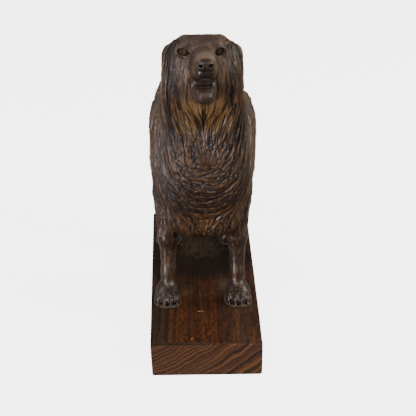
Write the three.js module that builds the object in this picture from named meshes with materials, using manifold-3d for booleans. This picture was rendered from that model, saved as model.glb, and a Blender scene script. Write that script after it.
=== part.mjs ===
// A standing long-haired dog carved in dense hardwood, with set-in eyes, pinned by four dowels to a
// rectangular plinth. Millimetres, +Z up. The origin is the middle of the plinth's underside, the dog
// looks along -Y, and its own left is +X. Heights in the figure are measured from the plinth's top.
import * as THREE from "three";
import { mergeVertices } from "three/addons/utils/BufferGeometryUtils.js";
import Module from "manifold-3d";

const wasm = await Module();
wasm.setup();

// ---- Driving dimensions ----
const PLINTH = { width: 77.4, length: 216, height: 26, edge: 1.0, edgeSteps: 2 };
const FLANK = 37.3; // the figure is no wider than the board it was carved from, so its sides are flat
const LEG_SHIFT = -1; // the legs stand a little to the dog's right of the board's middle
const BODY_SHIFT = -0.8;
const GAP = 0.3; // glue gap round a dowel and round an eye
const DOWEL = { radius: 2, intoPlinth: 13, intoLeg: 13, chamfer: 0.6, flutes: 8, fluteDepth: 0.25 };
const EYE = { radius: 3.0, dome: 1.9, shank: 4.0 };
const EYE_SHIFT = -1.8; // the eyes are cut a little to the dog's right of the head's middle
const HEAD = { centre: [-1.4, -62, 189], yaw: 1.8, pitch: -4 }; // degrees, about Z and X
const LARGE = 18; // sides of the trunk's masses
const MEDIUM = 12; // sides of the head's masses and the limbs
const SMALL = 8; // sides of a toe or a brow

// ---- Helpers ----
const rad = THREE.MathUtils.degToRad;
const MIRROR = new THREE.Matrix4().makeScale(-1, 1, 1);

// A three.js geometry, moved by a matrix, as a manifold-3d solid.
function solid(geometry, matrix = new THREE.Matrix4()) {
  const bare = geometry.index ? geometry.toNonIndexed() : geometry.clone();
  bare.deleteAttribute("normal");
  bare.deleteAttribute("uv");
  const merged = mergeVertices(bare.applyMatrix4(matrix), 1e-4);
  const index = merged.index.array;
  const faces = [];
  for (let i = 0; i < index.length; i += 3) {
    const [a, b, c] = [index[i], index[i + 1], index[i + 2]];
    if (a === b || b === c || c === a) continue; // a pole leaves empty triangles
    if (matrix.determinant() < 0) faces.push(a, c, b);
    else faces.push(a, b, c);
  }
  const vertProperties = merged.attributes.position.array;
  return new wasm.Manifold(
    new wasm.Mesh({ numProp: 3, vertProperties, triVerts: new Uint32Array(faces) }),
  );
}

// A rounded mass with radii along X, Y and Z, tilted by degrees about X and Y. With square 2 it is an
// ellipsoid, and with more it fills out towards a box, as a mass carved from a flat board does.
function mass(centre, radii, { square = 2, tiltX = 0, tiltY = 0, sides = MEDIUM } = {}) {
  const geometry = new THREE.SphereGeometry(1, sides, Math.round(sides * 0.6));
  const points = geometry.attributes.position;
  const point = new THREE.Vector3();
  for (let i = 0; i < points.count; i++) {
    point.fromBufferAttribute(points, i);
    const powers = point.toArray().map((v) => Math.abs(v) ** square);
    point.divideScalar((powers[0] + powers[1] + powers[2]) ** (1 / square));
    points.setXYZ(i, ...point.toArray());
  }
  const turn = new THREE.Quaternion().setFromEuler(new THREE.Euler(rad(tiltX), rad(tiltY), 0));
  const place = new THREE.Vector3(...centre);
  return { geometry, matrix: new THREE.Matrix4().compose(place, turn, new THREE.Vector3(...radii)) };
}

// A limb: two spheres and the cone that touches both, turned on a lathe from one end to the other.
function limb(from, fromRadius, to, toRadius, sides = MEDIUM) {
  const start = new THREE.Vector3(...from);
  const along = new THREE.Vector3(...to).sub(start);
  const length = along.length();
  const slope = Math.asin((fromRadius - toRadius) / length);
  const steps = 3;
  const arc = (radius, base, low, high) =>
    Array.from({ length: steps + 1 }, (_, i) => {
      const angle = low + ((high - low) * i) / steps;
      return new THREE.Vector2(Math.max(0, radius * Math.cos(angle)), base + radius * Math.sin(angle));
    });
  const profile = [
    ...arc(fromRadius, 0, -Math.PI / 2, slope),
    ...arc(toRadius, length, slope, Math.PI / 2),
  ];
  profile[0].x = 0;
  profile[profile.length - 1].x = 0;
  const up = new THREE.Vector3(0, 1, 0);
  const turn = new THREE.Quaternion().setFromUnitVectors(up, along.normalize());
  const matrix = new THREE.Matrix4().compose(start, turn, new THREE.Vector3(1, 1, 1));
  return { geometry: new THREE.LatheGeometry(profile, sides), matrix };
}

// Joins pieces into one solid in a frame; a pair is made on both sides of that frame's middle plane.
function join(pieces, frame = new THREE.Matrix4()) {
  const solids = pieces.flatMap(({ geometry, matrix, pair }) => {
    const made = [solid(geometry, frame.clone().multiply(matrix))];
    if (pair) made.push(solid(geometry, frame.clone().multiply(MIRROR).multiply(matrix)));
    return made;
  });
  return solids.reduce((all, next) => all.add(next));
}

const both = (piece) => ({ ...piece, pair: true });

// A manifold-3d solid as a named three.js mesh.
function mesh(name, made, material) {
  const { vertProperties, triVerts } = made.getMesh();
  const geometry = new THREE.BufferGeometry()
    .setAttribute("position", new THREE.BufferAttribute(new Float32Array(vertProperties), 3))
    .setIndex(new THREE.BufferAttribute(new Uint32Array(triVerts), 1));
  geometry.computeVertexNormals();
  const part = new THREE.Mesh(geometry, material);
  part.name = name;
  return part;
}

// ---- Materials ----
const figureWood = new THREE.MeshStandardMaterial({ color: 0x3a2416, roughness: 0.42, metalness: 0 });
const plinthWood = new THREE.MeshStandardMaterial({ color: 0x4a2813, roughness: 0.45, metalness: 0 });
const dowelWood = new THREE.MeshStandardMaterial({ color: 0xa9865a, roughness: 0.7, metalness: 0 });
const amberGlass = new THREE.MeshStandardMaterial({ color: 0x5a3616, roughness: 0.55, metalness: 0 });

// ---- The figure's masses, heights from the plinth's top ----
function trunk() {
  const sides = LARGE;
  return [
    mass([0, -26, 110.5], [36.7, 42, 44.5], { square: 2.7, sides }), // chest
    mass([0, 22, 112], [34, 50, 33], { square: 2.5, sides }), // barrel
    mass([0, 56, 113], [33.5, 30, 32], { square: 2.4, sides }), // loin and croup
    mass([0, -18, 136], [20, 32, 17], { sides }), // withers
    mass([0, -47, 118], [28, 23, 46], { square: 2.2, sides }), // ruff over the breast
    both(mass([11, -51, 143], [17, 17, 21])), // hair falling from the ears
    mass([0, -38, 71], [27, 20, 20], { square: 2.8 }), // breast hair between the forelegs
    mass([0, 12, 84], [16, 46, 13]), // fringe under the belly
    limb([0, -30, 132], 27, [0, -54, 172], 19, sides), // neck
    both(mass([16, -26, 108], [19, 24, 43], { tiltX: -8 })), // shoulder
    both(mass([21.5, -22, 134.5], [14.6, 24, 17], { square: 2.4 })), // top of the shoulder
    both(mass([16, 60, 98], [16.6, 27, 38], { tiltX: 12 })), // haunch
  ];
}

// Four toes side by side on the ground, the middle two reaching further forward.
function toes(x, y) {
  return [-6.7, -2.3, 2.3, 6.7].map((across) => {
    const reach = Math.abs(across) < 4 ? -9.6 : -7;
    return mass([x + across, y + reach, 3.6], [2.8, 5.6, 4.5], { sides: SMALL });
  });
}

function foreleg() {
  return [
    limb([24, -26, 76], 12, [25, -33, 46], 7), // upper arm
    limb([25, -33, 48], 6.6, [25, -37.5, 20], 5.2), // forearm
    limb([25, -37.5, 21], 5.2, [25.3, -40, 9], 5.8), // pastern
    mass([24.5, -27, 52], [3.6, 9.5, 21], { tiltX: -6 }), // feathering
    mass([25.6, -42, 4.4], [9, 11.2, 6.9], { square: 2.3 }), // paw
    ...toes(25.6, -42),
  ].map(both);
}

function hindLeg() {
  return [
    limb([20, 58, 94], 15, [24, 45, 66], 10.5), // thigh
    limb([24, 46, 66], 10, [24.5, 76, 38], 6), // gaskin
    limb([24.5, 76, 39], 5.8, [24.5, 67, 10], 5.4), // shank below the hock
    mass([25.2, 60.5, 4.4], [9, 11.2, 6.9], { square: 2.3 }), // paw
    mass([15, 80, 90], [9.5, 9.5, 26], { tiltX: 8 }), // breeches
    ...toes(25.2, 60.5),
  ].map(both);
}

function tail() {
  return [
    limb([0, 76, 132], 10, [0, 91, 121], 9),
    limb([0, 91, 121], 9, [0, 97, 98], 9),
    limb([0, 97, 98], 9, [0, 97, 74], 8),
    limb([0, 97, 74], 8, [0, 99, 52], 3.4),
  ];
}

// In the head's own frame: origin in the middle of the skull, nose along -Y.
function head() {
  return [
    mass([0, 0, 0.6], [18, 18.5, 17], { square: 2.5, sides: LARGE }), // skull
    limb([0, -10, 1.5], 8, [0, -30, 1.5], 7.2), // bridge of the muzzle
    mass([0, -14.5, -0.8], [8.4, 10.5, 9.2], { square: 2.3 }), // root of the muzzle
    mass([0, -23, 1], [7.5, 15.7, 7.3], { square: 2.8 }), // muzzle
    both(mass([3.9, -27, -1.3], [4.3, 9.5, 5.2])), // flew
    mass([0, -37, 4.7], [5.8, 3.6, 3.8], { square: 2.5, sides: SMALL }), // nose
    mass([0, -16.5, -17.9], [7.2, 13.3, 5.8], { square: 2.7, tiltX: 14 }), // lower jaw
    mass([0, -0.5, -25.5], [16.5, 16, 17.5]), // throat
    both(mass([10, -3, -12], [11, 14.5, 19.5])), // cheek
    both(mass([15.9, 3, 4.3], [10.5, 10, 7.6], { square: 2.5, tiltY: 32 })), // root of the ear
    both(mass([20.4, 2.5, -13], [7.2, 11.5, 22], { square: 2.7 })), // ear flap
    both(mass([20.6, 8, -31], [6.5, 11, 16])), // end of the ear
    mass([EYE_SHIFT - 11.8, -13.2, 8.2], [5.2, 2.7, 4.4], { sides: SMALL }), // lids
    mass([EYE_SHIFT + 11.8, -13.2, 8.2], [5.2, 2.7, 4.4], { sides: SMALL }),
  ];
}

const headFrame = new THREE.Matrix4().compose(
  new THREE.Vector3(...HEAD.centre),
  new THREE.Quaternion().setFromEuler(new THREE.Euler(rad(HEAD.pitch), 0, rad(HEAD.yaw), "ZXY")),
  new THREE.Vector3(1, 1, 1),
);
const legFrame = new THREE.Matrix4().makeTranslation(LEG_SHIFT, 0, 0);
const bodyFrame = new THREE.Matrix4().makeTranslation(BODY_SHIFT, 0, 0);

// Where each dowel stands, and where each eye sits in the head's frame with the way it looks.
const dowelPlaces = {
  dowel_front_left: [25.2 + LEG_SHIFT, -39],
  dowel_front_right: [-25.2 + LEG_SHIFT, -39],
  dowel_hind_left: [24.6 + LEG_SHIFT, 67],
  dowel_hind_right: [-24.6 + LEG_SHIFT, 67],
};
const eyePlaces = {
  eye_left: { at: [EYE_SHIFT + 11.5, -13.4, 7.8], looks: [0.45, -0.88, 0.1] },
  eye_right: { at: [EYE_SHIFT - 11.5, -13.4, 7.8], looks: [-0.45, -0.88, 0.1] },
};

// A cylinder with its axis on Z, from one height to another.
function upright([x, y], radius, low, high, sides = 16) {
  const geometry = new THREE.CylinderGeometry(radius, radius, high - low, sides);
  geometry.rotateX(Math.PI / 2);
  return solid(geometry, new THREE.Matrix4().makeTranslation(x, y, (low + high) / 2));
}

// A dowel pin: fluted along its length so that glue can rise past it, and chamfered at both ends.
function dowelPin([x, y]) {
  const { radius, intoPlinth, intoLeg, chamfer, flutes, fluteDepth } = DOWEL;
  const outline = new THREE.Shape();
  const steps = flutes * 4;
  for (let i = 0; i < steps; i++) {
    const angle = (2 * Math.PI * i) / steps;
    const r = radius - chamfer - (i % 4 === 0 ? fluteDepth : 0);
    if (i === 0) outline.moveTo(r * Math.cos(angle), r * Math.sin(angle));
    else outline.lineTo(r * Math.cos(angle), r * Math.sin(angle));
  }
  outline.closePath();
  const geometry = new THREE.ExtrudeGeometry(outline, {
    depth: intoPlinth + intoLeg - 2 * chamfer,
    bevelThickness: chamfer,
    bevelSize: chamfer,
    bevelSegments: 1,
  });
  return solid(geometry, new THREE.Matrix4().makeTranslation(x, y, chamfer - intoPlinth));
}

// The eye's own frame: +Y along the way it looks, origin where the dome meets the shank.
function eyeFrame({ at, looks }) {
  const way = new THREE.Vector3(...looks).normalize();
  const turn = new THREE.Quaternion().setFromUnitVectors(new THREE.Vector3(0, 1, 0), way);
  const place = new THREE.Matrix4().compose(new THREE.Vector3(...at), turn, new THREE.Vector3(1, 1, 1));
  return headFrame.clone().multiply(place);
}

// A glass eye: a shallow dome on a plain round shank that is glued in a drilled socket.
function eye(place) {
  const steps = 5;
  const profile = [new THREE.Vector2(0, -EYE.shank), new THREE.Vector2(EYE.radius, -EYE.shank)];
  for (let i = 0; i <= steps; i++) {
    const angle = (Math.PI / 2) * (i / steps);
    profile.push(new THREE.Vector2(EYE.radius * Math.cos(angle), EYE.dome * Math.sin(angle)));
  }
  profile[profile.length - 1].x = 0;
  return solid(new THREE.LatheGeometry(profile, 16), eyeFrame(place));
}

function eyeSocket(place) {
  const reach = 8; // past the dome, so that the socket is open in front
  const depth = EYE.shank + GAP;
  const geometry = new THREE.CylinderGeometry(EYE.radius + GAP, EYE.radius + GAP, depth + reach, 16);
  geometry.translate(0, (reach - depth) / 2, 0);
  return solid(geometry, eyeFrame(place));
}

// ---- The figure and the plinth ----
function figureSolid() {
  const legs = join([...foreleg(), ...hindLeg()], legFrame);
  let figure = join([...trunk(), ...tail()], bodyFrame).add(legs).add(join(head(), headFrame));
  const room = 400;
  const stock = new THREE.BoxGeometry(2 * FLANK, room, room);
  figure = figure.intersect(solid(stock, new THREE.Matrix4().makeTranslation(0, 0, room / 2)));
  for (const place of Object.values(dowelPlaces))
    figure = figure.subtract(upright(place, DOWEL.radius + GAP, -1, DOWEL.intoLeg + GAP));
  for (const place of Object.values(eyePlaces)) figure = figure.subtract(eyeSocket(place));
  return figure;
}

function plinthSolid() {
  const { width, length, height, edge, edgeSteps } = PLINTH;
  const x = width / 2 - edge;
  const y = length / 2 - edge;
  const outline = new THREE.Shape();
  outline.moveTo(-x, -y).lineTo(x, -y).lineTo(x, y).lineTo(-x, y).closePath();
  const geometry = new THREE.ExtrudeGeometry(outline, {
    depth: height - 2 * edge,
    bevelThickness: edge,
    bevelSize: edge,
    bevelSegments: edgeSteps,
  });
  geometry.translate(0, 0, edge);
  let plinth = solid(geometry);
  const floor = height - DOWEL.intoPlinth - GAP;
  for (const place of Object.values(dowelPlaces))
    plinth = plinth.subtract(upright(place, DOWEL.radius + GAP, floor, height + 1));
  return plinth;
}

// ---- The assembly ----
const root = new THREE.Group();
root.add(mesh("plinth", plinthSolid(), plinthWood));

const figure = new THREE.Group();
figure.position.z = PLINTH.height;
root.add(figure);
figure.add(mesh("dog_figure", figureSolid(), figureWood));
for (const [name, place] of Object.entries(dowelPlaces))
  figure.add(mesh(name, dowelPin(place), dowelWood));
for (const [name, place] of Object.entries(eyePlaces)) figure.add(mesh(name, eye(place), amberGlass));

export default root;
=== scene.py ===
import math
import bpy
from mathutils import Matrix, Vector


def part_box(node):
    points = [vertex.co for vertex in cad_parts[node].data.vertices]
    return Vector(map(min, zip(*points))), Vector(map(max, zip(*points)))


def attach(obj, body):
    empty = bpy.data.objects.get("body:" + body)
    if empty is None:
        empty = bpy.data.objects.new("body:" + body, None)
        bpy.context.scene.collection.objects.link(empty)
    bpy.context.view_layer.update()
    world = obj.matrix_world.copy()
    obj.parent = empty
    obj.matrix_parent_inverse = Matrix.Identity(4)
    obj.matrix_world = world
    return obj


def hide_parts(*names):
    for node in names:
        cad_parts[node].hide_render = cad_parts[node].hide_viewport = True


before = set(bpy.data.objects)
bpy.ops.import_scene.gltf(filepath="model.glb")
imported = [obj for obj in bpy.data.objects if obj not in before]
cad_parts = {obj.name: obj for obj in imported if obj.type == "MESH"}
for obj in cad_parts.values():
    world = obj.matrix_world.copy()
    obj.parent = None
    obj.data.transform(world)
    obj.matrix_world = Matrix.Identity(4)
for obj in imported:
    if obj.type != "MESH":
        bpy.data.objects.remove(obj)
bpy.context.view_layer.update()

# A dog carved in dark hardwood on a plinth of striped hardwood. The figure is worked out in millimetres,
# as a smooth solid made of blended masses, then cut with gouge strokes that follow the lie of its coat.
from concurrent.futures import ThreadPoolExecutor
from functools import partial, reduce

import bpy
import numpy as np
from mathutils import Matrix, Vector

MM = 0.001
RANDOM = np.random.default_rng(57)
COARSENESS = 1.0  # of the grid that the figure's mesh is taken from
FLOOR_GLOW = 4.3  # the floor and the wall shine this much, for the eye only

# ---- The solid's building blocks: distances in mm, negative inside ----


def turn(axis, degrees):
    """A rotation matrix about the X, Y or Z axis."""
    return np.array(Matrix.Rotation(math.radians(degrees), 3, axis), dtype=np.float32)


def mass(points, centre, radii, square=2.0, tilt=None):
    """A rounded mass. With square 2 it is an ellipsoid, and with more it fills out towards a box."""
    local = points - np.array(centre, np.float32)
    if tilt is not None:
        local = local @ turn(*tilt)
    scaled = np.abs(local / np.array(radii, np.float32)) + 1e-6
    if square == 2.0:
        powers = scaled
    else:
        powers = scaled ** (square - 1)
    level = np.maximum((powers * scaled).sum(1), 1e-6) ** (1 / square)
    slope = np.sqrt(((powers / np.array(radii, np.float32)) ** 2).sum(1)) * level ** (1 - square)
    return (level - 1) / slope


def limb(points, start, start_radius, end, end_radius):
    """A round rod that tapers from one ball to another."""
    start = np.array(start, np.float32)
    along = np.array(end, np.float32) - start
    local = points - start
    share = np.clip(local @ along / (along @ along), 0, 1)
    away = np.sqrt(((local - share[:, None] * along) ** 2).sum(1))
    return away - (start_radius + (end_radius - start_radius) * share)


def blend(a, b, width):
    """Joins two solids with a fillet of about that width."""
    near = np.maximum(width - np.abs(a - b), 0) / width
    return np.minimum(a, b) - near * near * width * 0.25


def cut(a, b, width):
    """Takes solid b away from solid a, with an edge rounded to about that width."""
    return -blend(-a, b, width)


def mirrored(points, middle=0.0):
    """The points folded onto the dog's left side, for what is alike on both sides."""
    folded = points.copy()
    folded[:, 0] = np.abs(points[:, 0] - middle)
    return folded


# ---- The figure's frame ----
PLINTH_LOW, PLINTH_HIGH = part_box("plinth")
GROUND = PLINTH_HIGH[2] / MM  # heights in the figure are measured from the plinth's top
FRONT = 108.0  # from the middle of the plinth to either end
LEG_SHIFT = -1.0  # the legs' and the body's middles lie a little to the dog's right of the plinth's
BODY_SHIFT = -0.8
HEAD_CENTRE = np.array((-1.4, -62.0, 189.0 + GROUND), np.float32)
HEAD_TURN = turn("Z", 1.8) @ turn("X", -4)
EYE_SHIFT = -1.8  # the eyes are cut a little to the dog's right of the head's middle
EYE_PLACE = (11.5, -13.4, 7.8)  # measured from that middle, on the left side
EYE_LOOK = (0.45, -0.88, 0.1)
EYE_RADIUS = 3.0
TONGUE_RIDGES = 1.45  # radians per mm


def to_head(points):
    return (points - HEAD_CENTRE) @ HEAD_TURN


def from_head(points):
    return points @ HEAD_TURN.T + HEAD_CENTRE


# ---- The dog, group by group ----


def trunk(p):
    d = mass(p, (0, -26, 110.5), (36.7, 42, 44.5), 2.7)  # chest
    d = blend(d, mass(p, (0, 22, 112), (34, 50, 33), 2.5), 12)  # barrel
    d = blend(d, mass(p, (0, 56, 113), (33.5, 30, 32), 2.4), 12)  # loin and croup
    d = blend(d, mass(p, (0, -18, 136), (20, 32, 17)), 14)  # withers
    d = blend(d, limb(p, (0, -30, 132), 26, (0, -54, 172), 18), 12)  # neck
    d = blend(d, mass(p, (0, -47, 118), (28, 23, 46), 2.2), 12)  # ruff
    d = blend(d, mass(p, (11, -51, 143), (17, 17, 21)), 8)  # hair falling from the ears
    d = blend(d, mass(p, (0, -38, 71), (27, 20, 20), 2.8), 8)  # breast hair
    d = blend(d, mass(p, (16, -26, 108), (19, 24, 43), 2, ("X", -8)), 8)  # shoulder
    d = blend(d, mass(p, (21.5, -22, 134.5), (14.6, 24, 17), 2.4), 8)  # top of the shoulder
    d = blend(d, mass(p, (16, 60, 98), (16.6, 27, 38), 2, ("X", 12)), 8)  # haunch
    return blend(d, mass(p, (0, 12, 84), (16, 46, 13)), 10)  # fringe under the belly


def paw(p, x, y):
    d = mass(p, (x, y, 4.4), (9.0, 11.2, 6.8), 2.3)
    for across, reach in ((-6.7, -7.0), (-2.3, -9.6), (2.3, -9.6), (6.7, -7.0)):
        toe = mass(p, (x + across, y + reach, 3.6), (2.8, 5.5, 4.5))
        d = blend(d, toe, 1.5)
        claw = limb(p, (x + across, y + reach - 5.0, 2.4), 0.75, (x + across, y + reach - 6.2, 1.2), 0.5)
        d = blend(d, claw, 0.6)
    return blend(d, mass(p, (x, y - 2.0, 0.0), (10.3, 13.3, 0.9), 2.6), 0.8)  # ledge it stands on


def foreleg(p):
    d = limb(p, (24, -26, 76), 12, (25, -33, 46), 6.8)
    d = blend(d, limb(p, (25, -33, 48), 6.4, (25, -37.5, 20), 4.9), 4)
    d = blend(d, limb(p, (25, -37.5, 21), 4.9, (25.3, -39.5, 10), 5.4), 3)
    d = blend(d, mass(p, (24.5, -27, 52), (3.6, 9.5, 21), 2, ("X", -6)), 6)  # feathering
    return blend(d, paw(p, 25.6, -42.0), 5)


def hind_leg(p):
    d = limb(p, (20, 58, 94), 15, (24, 45, 66), 10.5)
    d = blend(d, limb(p, (24, 46, 66), 9.5, (24.5, 76, 38), 5.6), 8)
    d = blend(d, limb(p, (24.5, 76, 39), 5.4, (24.5, 67, 10), 5.2), 4)
    d = blend(d, paw(p, 25.2, 60.5), 3)
    return blend(d, mass(p, (15, 80, 90), (9.5, 9.5, 26), 2, ("X", 8)), 10)  # breeches


def tail(p):
    d = limb(p, (0, 76, 132), 10, (0, 91, 121), 8.5)
    d = blend(d, limb(p, (0, 91, 121), 8.5, (0, 97, 98), 8.5), 6)
    d = blend(d, limb(p, (0, 97, 98), 8.5, (0, 97, 74), 7.5), 6)
    return blend(d, limb(p, (0, 97, 74), 7.5, (0, 99, 52), 3), 6)


def jaws(p):
    """The muzzle, the nose and the open mouth, in the head's frame folded onto its left side."""
    d = mass(p, (0, -23, 1.0), (7.4, 15.5, 7.2), 2.8, ("X", 2))
    d = blend(d, mass(p, (0, -14.5, -0.8), (8.4, 10.5, 9.2), 2.3), 4)  # root of the muzzle
    d = blend(d, mass(p, (3.9, -27, -1.3), (4.3, 9.5, 5.2)), 2)  # flews
    d = blend(d, mass(p, (0, -35.9, 4.5), (5.8, 4.7, 3.8), 2.5), 1.2)  # nose
    d = cut(d, mass(p, (3.2, -39.8, 4.3), (1.3, 2.4, 1.1), 2, ("Y", -25)), 0.5)  # nostril
    d = cut(d, mass(p, (0, -41.0, 1.2), (0.4, 1.7, 4.6)), 0.4)  # groove below the nose
    d = blend(d, mass(p, (0, -16.5, -17.9), (7.2, 13.3, 5.8), 2.7, ("X", 14)), 2)  # lower jaw
    d = cut(d, mass(p, (0, -24.5, -9.4), (5.5, 15, 5.4), 3.4, ("X", 8)), 1.6)  # mouth
    ridge = 0.5 * np.cos(p[:, 1] * TONGUE_RIDGES)
    d = blend(d, mass(p, (0, -16, -14.6), (4.6, 11.5, 2.4), 2.4, ("X", 13)) - ridge, 0.6)  # tongue
    for across, back, high in ((0.95, -27.9, -15.4), (2.7, -27.5, -15.3), (4.6, -26.4, -14.3)):
        tooth = limb(p, (across, back, high - 2.2), 0.85, (across, back + 0.3, high - 0.7), 0.45)
        d = blend(d, tooth, 0.5)
    return d


def head(points):
    q = to_head(points)
    p = mirrored(q)
    d = mass(p, (0, 0, 1.0), (18.2, 18.5, 18.0), 2.5)  # skull
    slope = 0.3  # of the flat crown, which falls away backwards
    crown = (q[:, 2] - 17.9 + slope * (q[:, 1] + 6)) / math.hypot(1, slope)
    d = -blend(-d, -crown, 4)
    d = blend(d, mass(p, (10, -3, -12), (11, 14, 19)), 6)  # cheek
    d = blend(d, jaws(p), 4)
    d = blend(d, mass(p, (0, -0.5, -25.5), (16.5, 15.5, 17)), 6)  # throat
    ear = mass(p, (15.9, 3, 4.3), (10.9, 10, 7.7), 2.5, ("Y", 32))
    ear = blend(ear, mass(p, (20.4, 2.5, -13), (7.3, 11.5, 22), 2.7), 3)
    ear = blend(ear, mass(p, (20.6, 8, -31), (6.4, 11, 16)), 6)
    d = blend(d, ear, 4)
    e = mirrored(q, EYE_SHIFT)
    place = np.array(EYE_PLACE, np.float32)
    d = blend(d, mass(e, place + (-1.2, 1.9, 4.8), (5.6, 3.9, 3.2), 2, ("Y", 12)), 3.5)  # brow
    d = blend(d, mass(e, place + (0.3, 0.1, 0.4), (5.4, 2.8, 4.5)), 1.2)  # eyelids
    d = cut(d, mass(e, place + (0.6, -2.5, -0.2), (3.8, 3.5, 2.5), 2, ("Y", -14)), 0.4)  # between them
    return cut(d, mass(e, place + (-3.7, -2.0, -0.7), (1.2, 1.6, 0.5)), 0.5)  # corner of the eye


# Each group of masses, the box it lies in, and the width of the fillet it joins with.
GROUPS = (
    (lambda p: trunk(mirrored(p, BODY_SHIFT)), ((-45, -82, 45), (45, 98, 200)), 0),
    (lambda p: foreleg(mirrored(p, LEG_SHIFT)), ((-42, -64, -2), (42, -6, 92)), 8),
    (lambda p: hind_leg(mirrored(p, LEG_SHIFT)), ((-42, 28, -2), (42, 100, 120)), 8),
    (lambda p: tail(mirrored(p)), ((-14, 60, 44), (14, 110, 146)), 6),
)
HEAD_BOX = ((-36, -110, 140), (36, -34, 216))
REACH = 18.0  # a group is left out further than this from its box


def near_box(low, high, box):
    return all(low[i] < box[1][i] + REACH and high[i] > box[0][i] - REACH for i in range(3))


def figure_part(points):
    """The whole figure's distance at some neighbouring points, leaving out the groups that are far off."""
    p = points - np.array((0, 0, GROUND), np.float32)
    low, high = p.min(0), p.max(0)
    d = np.full(len(p), 40.0, np.float32)
    for group, box, width in GROUPS:
        if near_box(low, high, box):
            value = group(p)
            d = blend(d, value, width) if width else np.minimum(d, value)
    if near_box(low, high, HEAD_BOX):
        d = blend(d, head(points), 9)
    return -blend(-d, p[:, 2], 0.2)


def figure(points, chunk=16384):
    """The figure's distance at any points, worked out in neighbouring chunks on all cores."""
    order = np.lexsort(np.floor(points / 12.0).astype(np.int64).T)
    parts = [order[i : i + chunk] for i in range(0, len(order), chunk)]
    out = np.empty(len(points), np.float32)
    with ThreadPoolExecutor(4) as pool:
        for part, value in zip(parts, pool.map(lambda part: figure_part(points[part]), parts)):
            out[part] = value
    return out


# ---- From distances to a mesh of quads ----


def grid_lines(*stops):
    """Grid lines between stops, each given as (start, step); the last stop is the end alone."""
    lines = []
    for (start, step), (end, _) in zip(stops[:-1], stops[1:]):
        count = round((end - start) / (step * COARSENESS))
        lines.append(np.linspace(start, end, count, endpoint=False))
    lines.append([stops[-1][0]])
    return np.concatenate(lines).astype(np.float32)


def distances_on(lines, size=8):
    """The distance on a grid, worked out only in the blocks that the surface may pass through."""
    middles = [np.array([line[i : i + size].mean() for i in range(0, len(line), size)]) for line in lines]
    widest = max(np.diff(line).max() for line in lines)
    margin = 0.5 * size * math.sqrt(3) * widest + 3
    grid = np.stack(np.meshgrid(*middles, indexing="ij"), -1)
    rough = figure(grid.reshape(-1, 3).astype(np.float32)).reshape(grid.shape[:3])
    for axis, line in enumerate(lines):
        rough = np.take(rough, np.arange(len(line)) // size, axis)
    values = np.where(rough < 0, -9, 9).astype(np.float32)
    active = np.argwhere(np.abs(rough) < margin)
    points = np.stack([lines[axis][active[:, axis]] for axis in range(3)], 1)
    values[tuple(active.T)] = figure(points)
    return values


def surface_quads(values, lines):
    """One vertex in each cell that the surface crosses, and one quad round each edge that it crosses."""
    inside = values < 0
    shape = [n - 1 for n in values.shape]
    corners = [(i, j, k) for i in (0, 1) for j in (0, 1) for k in (0, 1)]
    count = np.zeros(shape, np.int8)
    for i, j, k in corners:
        count += inside[i : i + shape[0], j : j + shape[1], k : k + shape[2]]
    cells = np.argwhere((count > 0) & (count < 8))
    number = np.full(shape, -1, np.int64)
    number[tuple(cells.T)] = np.arange(len(cells))
    total, hits = np.zeros((len(cells), 3)), np.zeros(len(cells))
    for corner in corners:
        for axis in range(3):
            if corner[axis]:
                continue
            here = cells + corner
            there = here + np.eye(3, dtype=int)[axis]
            a, b = values[tuple(here.T)], values[tuple(there.T)]
            crossed = (a < 0) != (b < 0)
            share = np.where(crossed, a / np.where(crossed, a - b, 1), 0)
            place = np.stack([lines[n][here[:, n]] for n in range(3)], 1)
            place[:, axis] += share * (lines[axis][there[:, axis]] - lines[axis][here[:, axis]])
            total += place * crossed[:, None]
            hits += crossed
    quads = []
    for axis in range(3):
        u, v = (axis + 1) % 3, (axis + 2) % 3
        first, second = [slice(None)] * 3, [slice(None)] * 3
        first[axis], second[axis] = slice(0, -1), slice(1, None)
        edges = np.argwhere(inside[tuple(first)] != inside[tuple(second)])
        edges = edges[(edges[:, u] > 0) & (edges[:, v] > 0)]
        edges = edges[(edges[:, u] < shape[u]) & (edges[:, v] < shape[v])]
        loop = []
        for back_u, back_v in ((1, 1), (0, 1), (0, 0), (1, 0)):
            cell = edges.copy()
            cell[:, u] -= back_u
            cell[:, v] -= back_v
            loop.append(number[tuple(cell.T)])
        faces = np.stack(loop, 1)
        outward = ~inside[tuple(edges.T)]
        faces[outward] = faces[outward][:, ::-1]
        quads.append(faces)
    return (total / hits[:, None]).astype(np.float32), np.concatenate(quads)


def split_quads(points, quads):
    """Cuts each quad into four."""
    n = len(points)
    pairs = np.sort(np.stack([quads, np.roll(quads, -1, 1)], -1).reshape(-1, 2), 1)
    edges, index = np.unique(pairs[:, 0] * n + pairs[:, 1], return_inverse=True)
    middles = (points[edges // n] + points[edges % n]) / 2
    edge = index.reshape(-1, 4) + n
    face = np.arange(len(quads)) + n + len(edges)
    corners = [np.stack([quads[:, k], edge[:, k], face, edge[:, k - 1]], 1) for k in range(4)]
    return np.concatenate([points, middles, points[quads].mean(1)]), np.concatenate(corners)


def settle(points, rounds=1, probe=0.1):
    """Moves points onto the figure's surface. Returns them and their normals."""
    for _ in range(rounds):
        level = figure(points)
        slope = np.stack([figure(points + probe * unit) for unit in np.eye(3, dtype=np.float32)], 1)
        slope = (slope - level[:, None]) / probe
        size2 = np.maximum((slope * slope).sum(1), 0.05)
        points = points - slope * np.clip(level / size2, -1.5, 1.5)[:, None]
    return points, slope / np.sqrt(size2)[:, None]


# ---- The coat: which way it lies, and the gouge strokes that show it ----

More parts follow.
